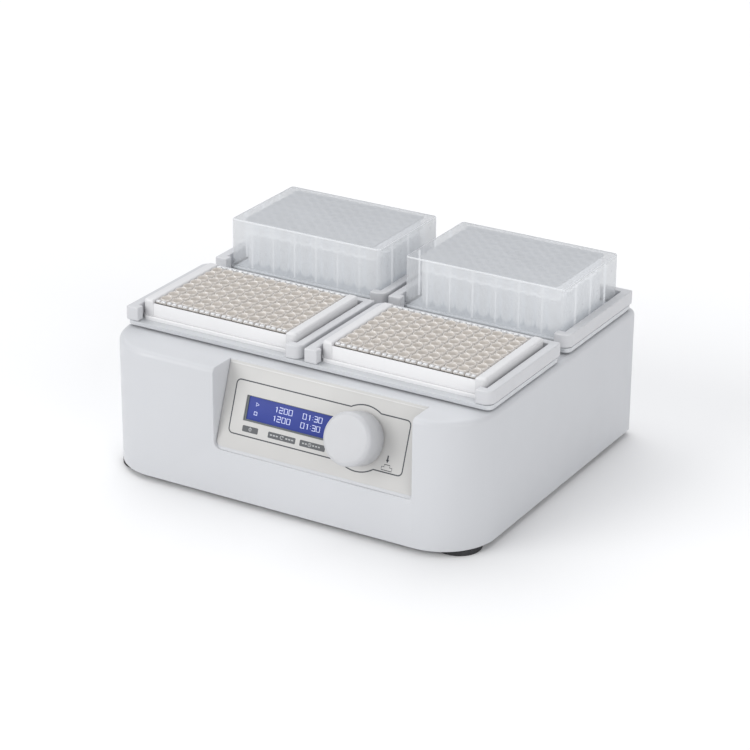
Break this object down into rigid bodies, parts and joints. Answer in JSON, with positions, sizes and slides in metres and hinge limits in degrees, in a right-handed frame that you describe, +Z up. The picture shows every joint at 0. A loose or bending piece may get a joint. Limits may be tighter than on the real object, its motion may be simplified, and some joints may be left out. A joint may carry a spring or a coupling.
{
  "type": "orbital shaker",
  "caption": "Bench-top orbital microplate shaker with a slanted control panel, push-and-turn knob and orbiting platform carrying strip microplates and deep-well plates.",
  "frame": {"origin": "on the bench, under the middle of the whole object", "axes": "+X to the right seen from the front, +Y to the back, +Z up"},
  "size_m": [0.291, 0.2686, 0.1399],
  "materials": {
    "housing_plastic": "satin, finely grained",
    "sheet_steel": "satin",
    "foot_rubber": "matte",
    "screw_steel": "satin",
    "panel_film": "satin",
    "display_window": "gloss",
    "display_module": "matte",
    "circuit_board": "satin",
    "nickel": "satin",
    "knob_plastic": "satin",
    "cast_aluminium": "satin",
    "bearing_steel": "satin",
    "belt_rubber": "matte",
    "motor_black": "satin",
    "tray_aluminium": "satin",
    "nest_plastic": "satin",
    "plate_white": "satin",
    "clear_polystyrene": "gloss",
    "frosted_polypropylene": "frosted",
    "cable_grey": "satin",
    "black_plastic": "satin",
    "rocker_red": "gloss"
  },
  "bodies": {
    "base": {"housing": "housing_plastic", "base_plate": "sheet_steel", "feet": "foot_rubber", "foot_screws": "screw_steel", "base_screws": "screw_steel", "panel_overlay": "panel_film", "display_window": "display_window", "display_module": "display_module", "control_board": "circuit_board", "board_spacers": "nickel", "encoder_body": "nickel", "encoder_nut": "nickel", "chassis_deck": "cast_aluminium", "deck_pillars": "cast_aluminium", "deck_screws": "screw_steel", "main_bearings": "bearing_steel", "idler_bearings": "bearing_steel", "drive_belt": "belt_rubber", "motor_body": "motor_black", "motor_screws": "screw_steel", "power_board": "circuit_board", "power_parts": "motor_black", "ribbon_cable": "cable_grey", "motor_lead": "black_plastic", "mains_leads": "cable_grey", "mains_inlet": "black_plastic", "inlet_pins": "nickel", "switch_frame": "black_plastic"},
    "plunger": {"encoder_plunger": "black_plastic"},
    "knob": {"knob": "knob_plastic", "encoder_shaft": "nickel"},
    "crank": {"crankshaft": "bearing_steel", "crank_pulley": "cast_aluminium", "counterweight": "bearing_steel"},
    "motor_rotor": {"motor_shaft": "bearing_steel", "motor_pulley": "cast_aluminium"},
    "idler_fl": {"idler_crank_fl": "bearing_steel"},
    "idler_bl": {"idler_crank_bl": "bearing_steel"},
    "idler_fr": {"idler_crank_fr": "bearing_steel"},
    "idler_br": {"idler_crank_br": "bearing_steel"},
    "platform": {"platform_carrier": "cast_aluminium", "carrier_bearings": "bearing_steel", "front_tray": "tray_aluminium", "back_tray": "tray_aluminium", "tray_screws": "screw_steel", "nest_front_left": "nest_plastic", "nest_front_right": "nest_plastic", "nest_back_left": "nest_plastic", "nest_back_right": "nest_plastic"},
    "plate_front_left": {"strip_frame_left": "plate_white", "strips_left": "clear_polystyrene"},
    "plate_front_right": {"strip_frame_right": "plate_white", "strips_right": "clear_polystyrene"},
    "plate_back_left": {"deep_plate_left": "frosted_polypropylene"},
    "plate_back_right": {"deep_plate_right": "frosted_polypropylene"},
    "rocker": {"rocker": "rocker_red"}
  },
  "joints": [
    {"name": "crank_spin", "type": "hinge", "parent": "base", "child": "crank", "pos_m": [0, 0.01569, 0.05], "axis": [0, 0, 1], "continuous": true},
    {"name": "platform_orbit", "type": "hinge", "parent": "crank", "child": "platform", "pos_m": [0, 0.01719, 0.088], "axis": [0, 0, 1], "continuous": true},
    {"name": "motor_spin", "type": "hinge", "parent": "base", "child": "motor_rotor", "pos_m": [-0.062, 0.01569, 0.06], "axis": [0, 0, 1], "continuous": true},
    {"name": "idler_fl_spin", "type": "hinge", "parent": "base", "child": "idler_fl", "pos_m": [-0.078, -0.03031, 0.062], "axis": [0, 0, 1], "continuous": true},
    {"name": "idler_bl_spin", "type": "hinge", "parent": "base", "child": "idler_bl", "pos_m": [-0.078, 0.06169, 0.062], "axis": [0, 0, 1], "continuous": true},
    {"name": "idler_fr_spin", "type": "hinge", "parent": "base", "child": "idler_fr", "pos_m": [0.078, -0.03031, 0.062], "axis": [0, 0, 1], "continuous": true},
    {"name": "idler_br_spin", "type": "hinge", "parent": "base", "child": "idler_br", "pos_m": [0.078, 0.06169, 0.062], "axis": [0, 0, 1], "continuous": true},
    {"name": "knob_push", "type": "slide", "parent": "base", "child": "plunger", "axis": [0, 0.9397, -0.342], "range_m": [0, 0.0008], "stiffness_N_per_m": 3000},
    {"name": "knob_turn", "type": "hinge", "parent": "plunger", "child": "knob", "pos_m": [0.0592, -0.11849, 0.07117], "axis": [0, -0.9397, 0.342], "continuous": true},
    {"name": "power_switch", "type": "hinge", "parent": "base", "child": "rocker", "pos_m": [0.024, 0.12789, 0.034], "axis": [1, 0, 0], "range_deg": [-24, 0]},
    {"name": "plate_front_left_lift", "type": "slide", "parent": "platform", "child": "plate_front_left", "axis": [0, 0, 1], "range_m": [0, 0.06]},
    {"name": "plate_front_right_lift", "type": "slide", "parent": "platform", "child": "plate_front_right", "axis": [0, 0, 1], "range_m": [0, 0.06]},
    {"name": "plate_back_left_lift", "type": "slide", "parent": "platform", "child": "plate_back_left", "axis": [0, 0, 1], "range_m": [0, 0.06]},
    {"name": "plate_back_right_lift", "type": "slide", "parent": "platform", "child": "plate_back_right", "axis": [0, 0, 1], "range_m": [0, 0.06]}
  ],
  "couplings": [
    {"joint": "platform_orbit", "follows": "crank_spin", "ratio": -1},
    {"joint": "motor_spin", "follows": "crank_spin", "ratio": 2.5},
    {"joint": "idler_fl_spin", "follows": "crank_spin", "ratio": 1},
    {"joint": "idler_bl_spin", "follows": "crank_spin", "ratio": 1},
    {"joint": "idler_fr_spin", "follows": "crank_spin", "ratio": 1},
    {"joint": "idler_br_spin", "follows": "crank_spin", "ratio": 1}
  ]
}
